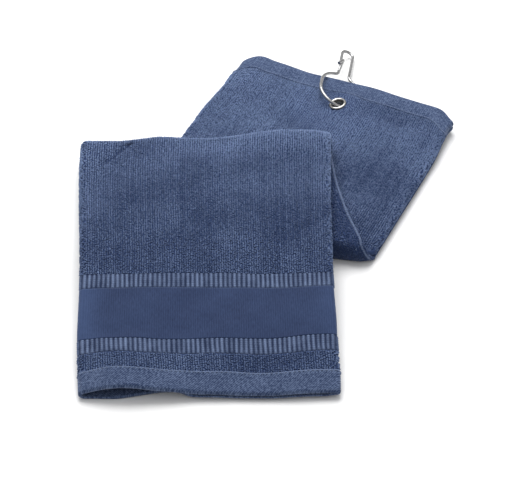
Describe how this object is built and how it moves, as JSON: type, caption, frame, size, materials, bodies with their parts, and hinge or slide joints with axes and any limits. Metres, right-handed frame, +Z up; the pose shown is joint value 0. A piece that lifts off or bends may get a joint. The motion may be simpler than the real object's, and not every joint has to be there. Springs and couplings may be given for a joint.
{
  "type": "golf towel",
  "caption": "Terry golf towel folded in three lengthways and laid in a Z of three runs, with a woven ribbed border, an eyelet at one end and a sprung wire hook through it.",
  "frame": {"origin": "middle of the footprint, on the surface that the towel lies on", "axes": "+Y away from the free end, towards the hook end; +X to the right; +Z up"},
  "size_m": [0.2317, 0.3122, 0.0228],
  "materials": {
    "terry": "velour terry, matt",
    "ribbed_weave": "ribbed flat weave",
    "plain_weave": "plain flat weave",
    "hem_weave": "twill flat weave",
    "thread": "sewing thread",
    "eyelet_nickel": "polished nickel",
    "hook_wire": "polished nickel"
  },
  "bodies": {
    "folded_base": {"lower_run_front_ply": "terry", "lower_run_inner_ply": "terry", "lower_run_back_ply": "terry", "lower_run_side_folds": "terry", "hook_end_hem": "hem_weave", "hook_end_stitching": "thread", "eyelet_surround": "terry", "bottom_fold": "terry", "middle_run_front_ply": "terry", "middle_run_inner_ply": "terry", "middle_run_back_ply": "terry", "middle_run_side_folds": "terry", "middle_run_selvedge": "hem_weave", "top_fold": "terry", "eyelet": "eyelet_nickel", "eyelet_washer": "eyelet_nickel"},
    "upper_run": {"upper_run_front_ply": "terry", "upper_run_inner_ply": "terry", "upper_run_back_ply": "terry", "upper_run_side_folds": "terry", "upper_rib_strip": "ribbed_weave", "plain_band": "plain_weave", "lower_rib_strip": "ribbed_weave", "border_terry": "terry", "free_end_hem": "hem_weave", "free_end_stitching": "thread"},
    "hook": {"hook_wire": "hook_wire"},
    "gate": {"hook_gate": "hook_wire"}
  },
  "joints": [
    {"name": "upper_run_lift", "type": "hinge", "parent": "folded_base", "child": "upper_run", "pos_m": [0, 0.04698, 0.01525], "axis": [-1, 0, 0], "range_deg": [0, 110]},
    {"name": "hook_swivel", "type": "hinge", "parent": "folded_base", "child": "hook", "pos_m": [0.0394, 0.09628, 0.0087], "axis": [0, 0, 1], "range_deg": [-28, 2]},
    {"name": "gate_flex", "type": "hinge", "parent": "hook", "child": "gate", "pos_m": [0.04083, 0.13101, 0.00765], "axis": [-0.4439, -0.0088, -0.896], "range_deg": [0, 10], "stiffness_Nm_per_rad": 0.03}
  ]
}
